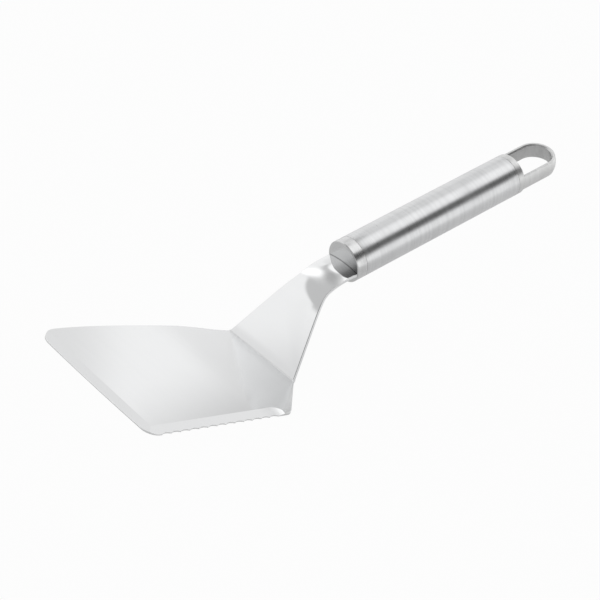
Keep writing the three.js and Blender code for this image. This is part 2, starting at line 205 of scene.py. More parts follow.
def direction(bearing, height):
    """A unit vector from a compass bearing and a height above the horizon, in degrees."""
    bearing, height = math.radians(bearing), math.radians(height)
    level = math.cos(height)
    return Vector((math.cos(bearing) * level, math.sin(bearing) * level, math.sin(height)))


def facing(way):
    """How far a ray points the given way, from -1 to 1."""
    return add_node(tree, "VectorMath", {0: ray, 1: way}, operation="DOT_PRODUCT").outputs["Value"]


def card(bearing, height, inner, outer):
    """1 inside a round card of this angular radius, 0 outside its soft edge."""
    cosines = math.cos(math.radians(outer)), math.cos(math.radians(inner))
    return ease(tree, facing(direction(bearing, height)), *cosines)


def turn_to(light, mask, level):
    """The light where the mask is 0, and this level where it is 1."""
    more = calc(tree, "MULTIPLY", calc(tree, "SUBTRACT", level, light), mask)
    return calc(tree, "ADD", light, more)


def dim(light, mask, level):
    """The light where the mask is 0, and level times it where the mask is 1."""
    return calc(tree, "MULTIPLY", light, ease(tree, mask, 0.0, 1.0, 1.0, level))


print("handle points along", tuple(round(c, 3) for c in along_handle))

# %% Hang the cards
ROOM_LIGHT, FAR_PANEL_LIGHT, NEAR_PANEL_LIGHT = 0.62, 1.04, 1.28

# a bearing and a height, and then the soft edge as cosines of the angle from there
FAR_PANEL_MIDDLE, FAR_PANEL_EDGE = (90, -22.3), (0.348, 0.392)
GAP_MIDDLE, GAP_LENGTH, GAP_LIGHT = (-113.1, 43.0), (-63, 40, 50, 70), 0.17

# degrees round the handle, counted from the gap's middle
GAP_STARTS, GAP_ENDS, NEAR_PANEL_STARTS = (-20, 4), (12, 36), (24, 40)

# bearing, height, inner and outer radius in degrees, what happens to the light there, and its level
FAR_CARDS = [
    (103.5, 45.5, 6, 11, turn_to, 1.58),  # lights the blade along the fold, by way of the neck
    (103.5, 63.0, 6, 11, turn_to, 0.42),  # darkens the blade at the heel, by way of the neck
    (48, 27, 2, 5, dim, 0.82),  # shades the blade's front
    (54, 42, 8, 14, turn_to, 0.88),  # for the front bevel
    (62, 55, 7, 11.5, turn_to, 1.15),  # for the handle's far side
    (16, 60, 19, 26, turn_to, 1.15),  # for the handle's top
    (20, 38, 10, 17, turn_to, 0.92),  # for the serrated bevel
    (-27, 77, 12, 26, turn_to, 1.4),  # the ceiling
]
DARK_CARDS = [
    (-42, 13, 8, 16, dim, 0.75),  # keeps the blade off white when it is seen from behind
    (150, 12, 4, 8.5, dim, 0.65),  # shades the neck's near side
    (166, 33, 8, 16, dim, 0.15),  # darkens the ferrule's face, by way of the shank
    (-141, 23, 16, 28, dim, 0.55),  # the room behind the camera
]


def round_handle(start_and_end, *levels):
    """A ramp by the angle round the handle's direction."""
    return ease(tree, gap_side, *(math.radians(angle) for angle in start_and_end), *levels)


def hang(light, cards):
    """Let each card change the light in turn."""
    for *shape, change, level in cards:
        light = change(light, card(*shape), level)
    return light


gap_middle = direction(*GAP_MIDDLE)
gap_across = along_handle.cross(gap_middle)
gap_side = calc(tree, "ARCTAN2", facing(gap_across), facing(gap_middle))
gap = calc(tree, "MULTIPLY", round_handle(GAP_STARTS), round_handle(GAP_ENDS, 1.0, 0.0))
far_panel = ease(tree, facing(direction(*FAR_PANEL_MIDDLE)), *FAR_PANEL_EDGE)
light = hang(turn_to(ROOM_LIGHT, far_panel, FAR_PANEL_LIGHT), FAR_CARDS)
light = turn_to(light, round_handle(NEAR_PANEL_STARTS), NEAR_PANEL_LIGHT)
light = hang(light, DARK_CARDS)
light = dim(light, calc(tree, "MULTIPLY", gap, card(*GAP_LENGTH)), GAP_LIGHT)
glow = add_node(tree, "Background", {"Color": WHITE, "Strength": light})
add_node(tree, "OutputWorld", {"Surface": glow.outputs[0]})
print("studio built with", len(tree.nodes), "nodes")

# %% [markdown]
# ## Shared finishes
# Brushed grain is scratches that all run one way. Noise gives them when it is squeezed: its coordinates
# are stretched far along the scratch and packed tightly across it. The group gives a shade, a roughness
# and a height from the same scratches, so that colour, gloss and relief agree. Every steel piece also
# has faint marks from handling and painted shade, and those are groups too. The painted shade darkens the
# colour where ambient occlusion, which tells how much of the surroundings a place can see, finds little;
# close in it also stands for polish left in the seams.

# %% Brushed grain
NOISE_LOW, NOISE_HIGH = 0.3, 0.7
DARKER, LIGHTER = -0.05, 0.03
GLOSS_CHANGE = 0.05

grain, grain_in, grain_out = new_group(
    "brushed_grain",
    {"Lines per mm": 6.0, "Stretch": 40.0, "Contrast": 1.0},
    ["Shade", "Roughness", "Height"],
)
split = add_node(grain, "SeparateXYZ", {0: grain_in.outputs["Place"]})
pitch = calc(grain, "MULTIPLY", grain_in.outputs["Lines per mm"], 1 / MM)
slow = calc(grain, "DIVIDE", pitch, grain_in.outputs["Stretch"])
scales = pitch, slow, slow
squeezed = {i: calc(grain, "MULTIPLY", split.outputs[i], scales[i]) for i in range(3)}
packed = add_node(grain, "CombineXYZ", squeezed).outputs[0]
fine_noise = {"Vector": packed, "Scale": 1.0, "Detail": 3.0, "Roughness": 0.6}
fine = add_node(grain, "TexNoise", fine_noise).outputs[0]
broad = add_node(grain, "TexNoise", {"Vector": packed, "Scale": 0.12, "Detail": 2.0}).outputs[0]
contrast = grain_in.outputs["Contrast"]
shade = calc(grain, "MULTIPLY", ease(grain, broad, NOISE_LOW, NOISE_HIGH, DARKER, LIGHTER), contrast)
grain.links.new(calc(grain, "ADD", shade, 1.0), grain_out.inputs["Shade"])
uneven = ease(grain, fine, NOISE_LOW, NOISE_HIGH, -GLOSS_CHANGE, GLOSS_CHANGE)
grain.links.new(calc(grain, "MULTIPLY", uneven, contrast), grain_out.inputs["Roughness"])
grain.links.new(fine, grain_out.inputs["Height"])
print("brushed grain:", len(grain.nodes), "nodes")

# %% Marks from handling
SMEAR_STARTS, SMEAR_FULL = 0.45, 0.75

marks, marks_in, marks_out = new_group("handling_marks", {"Amount": 0.03}, ["Roughness", "Height"])
place = marks_in.outputs["Place"]
smear_noise = {"Vector": place, "Scale": 45.0, "Detail": 4.0, "Distortion": 0.6}
smear = add_node(marks, "TexNoise", smear_noise).outputs[0]
ripple = add_node(marks, "TexNoise", {"Vector": place, "Scale": 28.0, "Detail": 1.0}).outputs[0]
smear = calc(marks, "MULTIPLY", ease(marks, smear, SMEAR_STARTS, SMEAR_FULL), marks_in.outputs["Amount"])
marks.links.new(smear, marks_out.inputs["Roughness"])
marks.links.new(ripple, marks_out.inputs["Height"])
print("handling marks:", len(marks.nodes), "nodes")

# %% Painted shade, and polish left in the seams
FILM_AND_SHADE_SAMPLES = 6

# painted shade: ambient occlusion darkens the colour in hollows and seams, where it also stands for polish
film_and_shade, film_and_shade_in, film_and_shade_out = new_group("joint_polish_and_painted_shade", {"Reach in mm": 0.8, "Depth": 0.5}, ["Shade"])
reach = calc(film_and_shade, "MULTIPLY", film_and_shade_in.outputs["Reach in mm"], MM)
nook = add_node(film_and_shade, "AmbientOcclusion", {"Distance": reach}, samples=FILM_AND_SHADE_SAMPLES).outputs["AO"]
lost = calc(film_and_shade, "MULTIPLY", calc(film_and_shade, "SUBTRACT", 1.0, nook), film_and_shade_in.outputs["Depth"])
film_and_shade.links.new(calc(film_and_shade, "SUBTRACT", 1.0, lost), film_and_shade_out.inputs["Shade"])
print("joint film:", len(film_and_shade.nodes), "nodes")

# %% [markdown]
# ## Steel materials
# All the steel is one metal, and only its finish differs. One function therefore makes each material:
# a Principled shader whose colour, roughness and bump come from the groups above; its colour carries
# the painted shade. Brushed pieces also have an anisotropic highlight, drawn out along the handle because
# the scratches run round it. A wheel polishes the blade, and it doesn't reach well into the nook of the
# fold or over the crest, so the steel is hazier there and mirrors the neck and the ferrule softly. On the
# cap the painted shade reaches far, which darkens the wall of its eye.

# %% Haze that the polishing wheel leaves
# spans in millimetres: heights at the crest, and in the nook a length along the part and then a height
CREST_HAZE, CREST_GROWS, CREST_FADES = 0.16, (36, 39), (41.5, 44)
NOOK_HAZE, NOOK_GROWS, NOOK_FADES = 0.13, (-73, -47), (3, 7)


def ramp_mm(tree, value, span, low, high):
    """A smooth ramp over a span that is given in millimetres."""
    return ease(tree, value, span[0] * MM, span[1] * MM, low, high)


def add_haze(tree, rough, place):
    """Roughness with more of it between two heights at the crest, and on the blade before the fold."""
    split = add_node(tree, "SeparateXYZ", {0: place})
    along, height = split.outputs[0], split.outputs[2]
    for value, grows, fades, haze in (
        (height, CREST_GROWS, CREST_FADES, CREST_HAZE),
        (along, NOOK_GROWS, NOOK_FADES, NOOK_HAZE),
    ):
        more = ramp_mm(tree, value, grows, 0.0, haze)
        left = ramp_mm(tree, height, fades, 1.0, 0.0)
        rough = calc(tree, "ADD", rough, calc(tree, "MULTIPLY", more, left))
    return rough


print("haze of", CREST_HAZE, "at the crest and", NOOK_HAZE, "in the fold's nook")

# %% A recipe for steel
RIPPLE_DEPTH = 0.001 * MM
QUARTER_TURN = 0.25

# scratches and marks change the roughness by this many times its own value
UNEVENNESS = 2


def bump(tree, depth, inputs):
    """A Bump node's relief, of full strength unless the inputs say otherwise."""
    return add_node(tree, "Bump", {"Strength": 1.0, "Distance": depth, **inputs}).outputs[0]


def steel(name, colour, roughness, lines, grain_depth, marked, stretch=0.0, hazy=False, darkening_settings=None):
    """A finish of grain, marks, seam polish and painted shade on one Principled shader; the grain's depth
    is in mm.
    """
    material = new_material(name)
    tree = material.node_tree
    place = add_node(tree, "TexCoord").outputs["Object"]
    if stretch:
        level = {"Vector": place, "Angle": HANDLE_RISE}
        place = add_node(tree, "VectorRotate", level, rotation_type="Y_AXIS").outputs[0]
    scratches = add_node(tree, "Group", {"Place": place, **lines}, node_tree=grain).outputs
    handled = add_node(tree, "Group", {"Place": place, "Amount": marked}, node_tree=marks).outputs
    # painted shade from ambient occlusion, which also stands for polish in the seams
    darkening = add_node(tree, "Group", darkening_settings, node_tree=film_and_shade).outputs
    rough = calc(tree, "ADD", scratches["Roughness"], handled["Roughness"])
    rough = calc(tree, "ADD", calc(tree, "MULTIPLY", rough, UNEVENNESS * roughness), roughness)
    if hazy:
        rough = add_haze(tree, rough, place)
    # the grain's tone and the painted shade both darken the colour
    for shade in (scratches["Shade"], darkening["Shade"]):
        colour = blend(tree, 1.0, colour, shade, "MULTIPLY")
    wave = bump(tree, RIPPLE_DEPTH, {"Height": handled["Height"]})
    relief = bump(tree, grain_depth * MM, {"Height": scratches["Height"], "Normal": wave})
    finish = {"Base Color": colour, "Metallic": 1.0, "Roughness": rough, "Normal": relief}
    shader = add_node(tree, "BsdfPrincipled", {**finish, "Anisotropic": stretch})
    if stretch:
        around = add_node(tree, "Tangent", direction_type="UV_MAP", uv_map="round_the_handle")
        tree.links.new(around.outputs[0], shader.inputs["Tangent"])
        shader.inputs["Anisotropic Rotation"].default_value = QUARTER_TURN
    add_node(tree, "OutputMaterial", {"Surface": shader.outputs[0]})
    print(name, "has", len(tree.nodes), "nodes")
    return material


print("brushed highlights are turned by", 360 * QUARTER_TURN, "degrees")

# %% Make the four steels
polished_blade = steel(
    "polished_blade", colour=(0.82, 0.825, 0.83, 1), roughness=0.06,
    lines={"Lines per mm": 3.0, "Contrast": 0.1}, grain_depth=0.00001, marked=0.1, hazy=True,
)
bright_ferrule = steel(
    "bright_ferrule", colour=(0.63, 0.633, 0.635, 1), roughness=0.24,
    lines={"Lines per mm": 5.0, "Stretch": 60.0}, grain_depth=0.0008, marked=0.1, stretch=0.45,
)
brushed_tube = steel(
    "brushed_tube", colour=(0.66, 0.665, 0.67, 1), roughness=0.3,
    lines={"Lines per mm": 6.0, "Stretch": 50.0}, grain_depth=0.0015, marked=0.15, stretch=0.6,
)
satin_cap = steel(
    "satin_cap", colour=(0.66, 0.662, 0.66, 1), roughness=0.36,
    lines={"Lines per mm": 6.0, "Stretch": 12.0}, grain_depth=0.001, marked=0.15, stretch=0.15,
    # painted shade: reaching 20 mm, the occlusion darkens the whole wall of the eye
    darkening_settings={"Reach in mm": 20.0, "Depth": 0.9},
)

# %% [markdown]
# ## The blank
# The real blade starts as a flat blank, cut from sheet with the scallops of the serrated edge in its
# outline. A bevelled curve or a traced picture could give the outline, but here it is drawn by its own
# sizes: straight runs, rounded corners and easy curves, listed once round the sheet. Lengths along the
# sheet count from the place where the solid's rounder fold starts.

# %% Sizes of the blank, in millimetres
SHEET = 1.5
SEAM_SEEN = 0.08
BLADE_LENGTH = 99.8
FRONT_RAKE = 3.6
FRONT_BOW = 0.55
SERRATED_SIDE, PLAIN_SIDE = 43.2, 38.8
NECK_WIDTH, SHANK_WIDTH, TANG_WIDTH = 44.3, 18.8, 12.0
NECK_RUN, SHANK_RUN, TANG_LENGTH = 42.4, 16.3, 36.0
near_tip = Vector((-BLADE_LENGTH, -SERRATED_SIDE))
far_tip = Vector((FRONT_RAKE - BLADE_LENGTH, PLAIN_SIDE))
print("blade is", BLADE_LENGTH, "by", SERRATED_SIDE + PLAIN_SIDE, "mm")

# %% Lengths along the bent sheet
NECK_RISE = math.radians(65.6)
FOLD_RADIUS, SOLID_FOLD_RADIUS = 0.8, 1.5
CREST_RADIUS = 26.0
fold_middle_radius = FOLD_RADIUS + SHEET / 2
fold_setback = FOLD_RADIUS * math.tan(NECK_RISE / 2)
fold_start = SOLID_FOLD_RADIUS * math.tan(NECK_RISE / 2) - fold_setback
fold_end = fold_start + fold_middle_radius * NECK_RISE
fold_middle = (fold_start + fold_end) / 2
crest_turn = NECK_RISE - HANDLE_RISE
crest_setback = CREST_RADIUS * math.tan(crest_turn / 2)
crest_start = fold_end + NECK_RUN - fold_setback - crest_setback
crest_end = crest_start + (CREST_RADIUS - SHEET / 2) * crest_turn
ferrule_face = crest_end + SHANK_RUN - crest_setback
tang_end = ferrule_face + TANG_LENGTH
print("flat blank is", round(BLADE_LENGTH + tang_end, 1), "mm long")


# %% Ways to draw an outline
def rounded(outline, corner, after, radius, steps=14):
    """Go to a corner and round it, so that the outline goes on towards the next point."""
    corner, after = Vector(corner), Vector(after)
    back = (outline[-1] - corner).normalized()
    ahead = (after - corner).normalized()
    half = math.acos(back.dot(ahead)) / 2
    inward = (back + ahead).normalized()
    centre = corner + inward * (radius / math.sin(half))
    start = corner + back * (radius / math.tan(half)) - centre
    swing = math.copysign(math.pi - 2 * half, back.cross(ahead))
    for i in range(steps + 1):
        angle = -swing * i / steps
        cos, sin = math.cos(angle), math.sin(angle)
        outline.append(centre + Vector((start.x * cos - start.y * sin, start.x * sin + start.y * cos)))


def curved(outline, handles, steps=28):
    """A Bezier curve from the outline's last point through its handles."""
    points = [outline[-1]] + [Vector(h) for h in handles]
    degree = len(points) - 1
    for i in range(1, steps + 1):
        t = i / steps
        weights = [math.comb(degree, k) * t**k * (1 - t) ** (degree - k) for k in range(degree + 1)]
        outline.append(sum((p * w for p, w in zip(points, weights)), Vector((0, 0))))


print("corners are rounded and curves are drawn point by point")

# %% The scallops
HEEL_PLAIN, TIP_PLAIN = 26.8, 6.6
SCALLOP_PITCH, SCALLOP_DEPTH = 5.1, 0.75
SCALLOPS = int((BLADE_LENGTH - TIP_PLAIN - HEEL_PLAIN) / SCALLOP_PITCH)


def scalloped(outline, steps=12):
    """The serrated side from the heel to the tip, a shallow arc for each scallop."""
    radius = (SCALLOP_PITCH**2 / 4 + SCALLOP_DEPTH**2) / (2 * SCALLOP_DEPTH)
    for i in reversed(range(SCALLOPS)):
        middle = TIP_PLAIN - BLADE_LENGTH + (i + 0.5) * SCALLOP_PITCH
        for k in range(steps + (i == 0)):
            off = SCALLOP_PITCH * (0.5 - k / steps)
            depth = math.sqrt(radius**2 - off**2) - radius + SCALLOP_DEPTH
            outline.append(Vector((middle + off, -SERRATED_SIDE + depth)))


print(SCALLOPS, "scallops of", SCALLOP_PITCH, "mm")

# %% Draw the blank
WAIST_RUN, WAIST_RADIUS = 38.8, 18.0
TANG_RADIUS, HEEL_RADIUS, NEAR_TIP_RADIUS, FAR_TIP_RADIUS = 2.0, 4.0, 6.0, 9.0
GRIND_END, GRIND_STEP, GRIND_STEPS = 22.8, 0.4, 10
FLARE, FLARE_SLOPE, FLARE_RUN = Vector((-30.0, 31.8)), math.tan(math.radians(10.6)), 15.6
FOOT_SLOPE, FOOT_RUN = math.tan(math.radians(9)), 9.4


def tail(side):
    """The tang and the shoulder on one side, from the tang's end to the shank."""
    shoulder = ferrule_face - SEAM_SEEN
    edge = side * TANG_WIDTH / 2
    outline = [Vector((tang_end, 0))]
    rounded(outline, (tang_end, edge), (shoulder, edge), TANG_RADIUS, steps=6)
    outline.append(Vector((shoulder, edge)))
    outline.append(Vector((shoulder, side * SHANK_WIDTH / 2)))
    return outline


def blank_outline():
    """The blank from the tang's end along the serrated side, round the front and back."""
    waist = fold_middle + WAIST_RUN
    foot = Vector((fold_middle, NECK_WIDTH / 2))
    heel = (fold_middle - (SERRATED_SIDE - NECK_WIDTH / 2), -SERRATED_SIDE)
    front = (near_tip + far_tip) / 2 - Vector((2 * FRONT_BOW, 0))
    outline = tail(-1)
    rounded(outline, (waist, -SHANK_WIDTH / 2), (foot.x, -foot.y), WAIST_RADIUS, steps=20)
    rounded(outline, (foot.x, -foot.y), heel, HEEL_RADIUS)
    rounded(outline, heel, near_tip, HEEL_RADIUS)
    outline += [Vector((-GRIND_END - i * GRIND_STEP, -SERRATED_SIDE)) for i in range(GRIND_STEPS)]
    scalloped(outline)
    rounded(outline, near_tip, front, NEAR_TIP_RADIUS, steps=18)
    towards = (front - far_tip).normalized()
    half = math.acos(towards.x) / 2
    curved(outline, [front, far_tip + towards * (FAR_TIP_RADIUS / math.tan(half))])
    rounded(outline, far_tip, far_tip + Vector((1, 0)), FAR_TIP_RADIUS, steps=18)
    curved(outline, [(FLARE.x - (PLAIN_SIDE - FLARE.y) / FLARE_SLOPE, PLAIN_SIDE), FLARE])
    settle = foot + Vector((-FOOT_RUN, FOOT_RUN * FOOT_SLOPE))
    curved(outline, [FLARE + Vector((FLARE_RUN, -FLARE_RUN * FLARE_SLOPE)), settle, foot])
    far_tail = tail(1)
    rounded(outline, (waist, SHANK_WIDTH / 2), far_tail[-1], WAIST_RADIUS, steps=20)
    return outline + far_tail[:0:-1]


blank = blank_outline()
print("outline of", len(blank), "points")

# %% [markdown]
# ## Grinding the edges
# The front edge is ground to a broad bevel and the serrated side to a slightly wider one. A Boolean with
# a wedge would do, but it leaves ragged faces. Here the top face is split along the lines where the
# grinding starts, and the points outside them sink, so each bevel is one clean facet. Before the heel
# the serrated grind runs out in a round, as a wheel leaves it.

# %% Slopes of the grind
FRONT_GRIND, FRONT_LIP = 4.0, 0.6
SERRATED_GRIND, SERRATED_LIP = 5.3, 0.4
RUN_OUT = 5.5
TINY = 1e-6
front_edge = (far_tip - near_tip).normalized()
front_inward = Vector((front_edge.y, -front_edge.x))


def behind_front(p):
    """How far a place on the blank lies behind the straight front edge."""
    return (p - near_tip).dot(front_inward)


def front_height(p):
    """Height of the front bevel's plane."""
    return FRONT_LIP + (SHEET - FRONT_LIP) * behind_front(p) / FRONT_GRIND


def serrated_height(p, left=1.0):
    """Height of the serrated bevel's plane where this share of the grind is left."""
    depth = (SHEET - SERRATED_LIP) * left
    return SHEET - depth + depth * (p.y + SERRATED_SIDE) / max(SERRATED_GRIND * left, TINY)


def run_out(along):
    """How much of the serrated grind is left near the heel, from 1 to 0."""
    share = min(max((-GRIND_END - along) / RUN_OUT, 0.0), 1.0)
    return math.sqrt(1 - (1 - share) ** 2)


def ground_height(p):
    """Height of the sheet's top after grinding."""
    on_side = p.x < -GRIND_END and p.y < 0
    return min(SHEET, front_height(p), serrated_height(p, run_out(p.x)) if on_side else SHEET)


print("front edge leans by", round(math.degrees(math.atan2(front_edge.x, front_edge.y)), 1), "degrees")

# %% Raise the blank to a sheet
bm = bmesh.new()
bottom = [bm.verts.new((p.x, p.y, 0)) for p in blank]
top = [bm.verts.new((p.x, p.y, SHEET)) for p in blank]
bm.faces.new(bottom)
top_face = bm.faces.new(list(reversed(top)))
for i in range(len(blank)):
    j = (i + 1) % len(blank)
    bm.faces.new((bottom[j], bottom[i], top[i], top[j]))
bmesh.ops.recalc_face_normals(bm, faces=bm.faces)
print("sheet of", len(bm.faces), "faces")

# %% Where the grind starts
NUDGE = 0.05

grind_line = -SERRATED_SIDE + SERRATED_GRIND
full_grind = -GRIND_END - RUN_OUT
serrated_top = [v for v in top if v.co.y < grind_line - SERRATED_GRIND / 2]
side_columns = [v for v in serrated_top if full_grind < v.co.x < -GRIND_END - NUDGE]
side_columns.sort(key=lambda v: -v.co.x)
run_out_edge = [(v.co.x, -SERRATED_SIDE + SERRATED_GRIND * run_out(v.co.x), SHEET) for v in side_columns]
meet = near_tip + front_inward * FRONT_GRIND
meet = meet + front_edge * ((grind_line - meet.y) / front_edge.y)
inner = run_out_edge + [(full_grind, grind_line, SHEET), (meet.x, meet.y, SHEET)]
print("the two grinds meet at", tuple(round(c, 1) for c in meet), "mm")

# %% Grind the sheet
CORNER_REACH = 9.5


def nearest(verts, x, y):
    """The corner that lies closest to a place on the blank."""
    return min(verts, key=lambda v: (v.co.x - x) ** 2 + (v.co.y - y) ** 2)


def split_between(a, b):
    """Split the face that two corners share."""
    shared = [f for f in a.link_faces if f in set(b.link_faces)]
    if shared and not any(b in e.verts for e in a.link_edges):
        bmesh.utils.face_split(shared[0], a, b)


heel_end = nearest(top, -GRIND_END, -SERRATED_SIDE)
far_front = [v for v in top if v.co.y > 0 and v.co.x < -BLADE_LENGTH / 2]
far_end = min(far_front, key=lambda v: abs(behind_front(v.co.xy) - FRONT_GRIND))
near_corner = [v for v in top if max(v.co.xy - near_tip) < CORNER_REACH]
mitre_end = min(near_corner, key=lambda v: abs(front_height(v.co.xy) - serrated_height(v.co.xy)))
bmesh.utils.face_split(top_face, heel_end, far_end, coords=inner)
inner_verts = [nearest([v for v in bm.verts if v.co.z > SHEET / 2], x, y) for x, y, z in inner]
split_between(inner_verts[-1], mitre_end)
for low, high in zip(side_columns, inner_verts):
    split_between(low, high)
split_between(nearest(top, full_grind, -SERRATED_SIDE), inner_verts[-2])
for v in top:
    v.co.z = ground_height(v.co.xy)
print("ground sheet:", len(bm.faces), "faces")

# %% [markdown]
# ## Bending the sheet
# Two bends give the spatula its shape: a tight fold behind the blade and a wide crest below the handle.
# A Simple Deform modifier bends by one angle only, so the flat sheet is cut at close stations and every
# corner is carried round by its length along the sheet. One more cut on each side of the fold keeps the
# shading of the flat parts flat. Towards the handle the sheet is also crowned across its width, which
# stiffens the real shank and gives its reflection a rounded border.

# %% Where the bends lead
CROWN = 1.1
CROWN_LEAD, CROWN_TAIL, CROWN_FADE = 6, 5, 4


def bent_station(along):
    """Where a length along the flat sheet lies once bent: x, z and slope."""
    if along <= fold_start:
        return along, SHEET / 2, 0.0
    if along <= fold_end:
        slope = (along - fold_start) / fold_middle_radius
        rise = fold_middle_radius * (1 - math.cos(slope))
        return fold_start + fold_middle_radius * math.sin(slope), SHEET / 2 + rise, slope
    if along <= crest_start:
        x, z, slope = bent_station(fold_end)
        run = along - fold_end
    elif along <= crest_end:
        x, z, start = bent_station(crest_start)
        radius = CREST_RADIUS - SHEET / 2
        slope = start - (along - crest_start) / radius
        x += radius * (math.sin(start) - math.sin(slope))
        return x, z + radius * (math.cos(slope) - math.cos(start)), slope
    else:
        x, z, slope = bent_station(crest_end)
        run = along - crest_end
    return x + run * math.cos(slope), z + run * math.sin(slope), slope


def crown(along, across):
    """How far the crowned sheet drops beside its middle line."""
    grow = min(max((along - crest_start + CROWN_LEAD) / (ferrule_face - crest_start), 0.0), 1.0)
    fade = min(max((ferrule_face + CROWN_TAIL - along) / CROWN_FADE, 0.0), 1.0)
    return CROWN * grow * grow * (3 - 2 * grow) * fade * (2 * across / SHANK_WIDTH) ** 2


print("crest lies", round(bent_station(crest_end)[1], 1), "mm high")

# %% Cut the sheet where it bends
FOLD_STEPS, CREST_STEPS, SHANK_STEPS = 10, 30, 4
BESIDE_FOLD = 0.4
LEAD_STEP = 2
CROWN_CUTS, CROWN_PITCH = 7, 1.2
ON_PLANE = 1e-5


def cut(point, normal, faces):
    """Cut faces along a plane."""
    geometry = list({g for f in faces for g in [f, *f.edges, *f.verts]})
    bmesh.ops.bisect_plane(bm, geom=geometry, plane_co=point, plane_no=normal, dist=ON_PLANE)


stations = [fold_start + (fold_end - fold_start) * i / FOLD_STEPS for i in range(FOLD_STEPS + 1)]
stations += [fold_start - BESIDE_FOLD, fold_end + BESIDE_FOLD]
stations += [crest_start - CROWN_LEAD + i for i in range(0, CROWN_LEAD, LEAD_STEP)]
stations += [crest_start + (crest_end - crest_start) * i / CREST_STEPS for i in range(CREST_STEPS + 1)]
stations += [crest_end + (ferrule_face - crest_end) * i / SHANK_STEPS for i in range(1, SHANK_STEPS)]
stations += [ferrule_face + i for i in range(CROWN_TAIL + 1)]
for station in stations:
    cut((station, 0, 0), (1, 0, 0), bm.faces)
for i in range(-CROWN_CUTS, CROWN_CUTS + 1):
    crowned = [f for f in bm.faces if min(v.co.x for v in f.verts) > crest_start - CROWN_LEAD - NUDGE]
    cut((0, i * CROWN_PITCH, 0), (0, 1, 0), crowned)
print("sheet cut at", len(stations), "stations into", len(bm.faces), "faces")

# %% [markdown]
# ## Breaking the edges
# A sheet as it is cut has edges that hurt, so they are broken, the neck's more than the blade's. A Bevel
# modifier could find them by their angle, but then all of them get one width. Weights on the edges give
# each its own share of the width. Tiny edges would make the modifier shrink every bevel, so near points
# are merged first and its clamp is off. In the tight fold a bevel would fold over, so no weight goes there.
# The weights are set while the sheet is flat, because a length along it is still a plain X there.

# %% Weigh the edges
FINE_BREAK, NECK_BREAK = 0.12, 0.34
NEAR_POINTS = 0.1
EDGE_TURN = math.radians(35)
FOLD_CLEAR, FERRULE_CLEAR = 0.3, 1

bmesh.ops.remove_doubles(bm, verts=bm.verts, dist=NEAR_POINTS)
bm.normal_update()
weight = bm.edges.layers.float.new("bevel_weight_edge")
for e in bm.edges:
    if e.calc_face_angle() > EDGE_TURN:
        low, high = sorted(v.co.x for v in e.verts)
        if fold_end + FOLD_CLEAR < low and high < ferrule_face - FERRULE_CLEAR:
            e[weight] = 1.0
        elif high < fold_start - FOLD_CLEAR:
            e[weight] = FINE_BREAK / NECK_BREAK
print("weights on", sum(e[weight] > 0 for e in bm.edges), "of", len(bm.edges), "edges")

# %% Bend the sheet
solid_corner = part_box("blade")[0]
sheet_front = min(v.co.x for v in bm.verts)
sheet_shift = Vector((solid_corner.x / MM - sheet_front, solid_corner.y / MM + SERRATED_SIDE, 0))
for v in bm.verts:
    x, z, slope = bent_station(v.co.x)
    offset = v.co.z - SHEET / 2 - crown(v.co.x, v.co.y)
    v.co = Vector((x - math.sin(slope) * offset, v.co.y, z + math.cos(slope) * offset)) + sheet_shift
    v.co *= MM
print("blade moved by", tuple(round(c, 2) for c in sheet_shift), "mm")

# %% [markdown]
# ## From mesh to piece
# Every piece ends the same way: its mesh becomes an object that moves with the part and hides the solid it
# stands for. That could be written out each time, but one helper keeps the four pieces alike. Pieces of
# the handle also get UVs that run round its axis, because a brushed highlight needs a direction.

# %% Helpers for finished pieces
WRAP_LENGTH = 100 * MM


def wrap_round(bm):
    """UVs that run round the handle, which the brushed highlight follows."""
    layer = bm.loops.layers.uv.new("round_the_handle")
    for f in bm.faces:
        middle = f.calc_center_median()
        centre = math.atan2(middle.z, middle.y)
        for loop in f.loops:
            turn_off = math.atan2(loop.vert.co.z, loop.vert.co.y) - centre
            turn_off = (turn_off + math.pi) % (2 * math.pi) - math.pi
            loop[layer].uv = ((centre + turn_off) / math.tau, loop.vert.co.x / WRAP_LENGTH)


def new_piece(name, bm, material, node, place=None):
    """Make an object from a mesh, put it in place, and let it stand for a solid."""
    mesh = bpy.data.meshes.new(name)
    if place:
        wrap_round(bm)
        bm.transform(place)
    bm.normal_update()
    bm.to_mesh(mesh)
    bm.free()
    mesh.materials.append(material)
    mesh.shade_smooth()
    piece = bpy.data.objects.new(name, mesh)
    scene.collection.objects.link(piece)
    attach(piece, "root")
    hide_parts(node)
    return piece


def keep_sharp(piece, degrees):
    """Shade smoothly, but not across edges that turn by more than this angle."""
    piece.data.set_sharp_from_angle(angle=math.radians(degrees))
    print(piece.name, "has", len(piece.data.polygons), "faces")


print("helpers for pieces ready")

# %% Finish the blade
blade = new_piece("bent_blade", bm, polished_blade, "blade")
bevel = blade.modifiers.new("broken_edges", "BEVEL")
bevel.width = NECK_BREAK * MM
bevel.segments = 3
bevel.limit_method = "WEIGHT"
bevel.use_clamp_overlap = False
bevel.miter_outer = "MITER_ARC"
bevel.harden_normals = True
keep_sharp(blade, degrees=7)

# %% [markdown]
# ## Turned handle pieces
# Ferrule, tube and cap are turned on a lathe. A Screw modifier would revolve a profile, but a loop over
# angles is as short and leaves the mesh open to more work. Each piece keeps the handle's axis as its own
# X axis and is then laid along the slope, so that grain and highlight follow the axis.

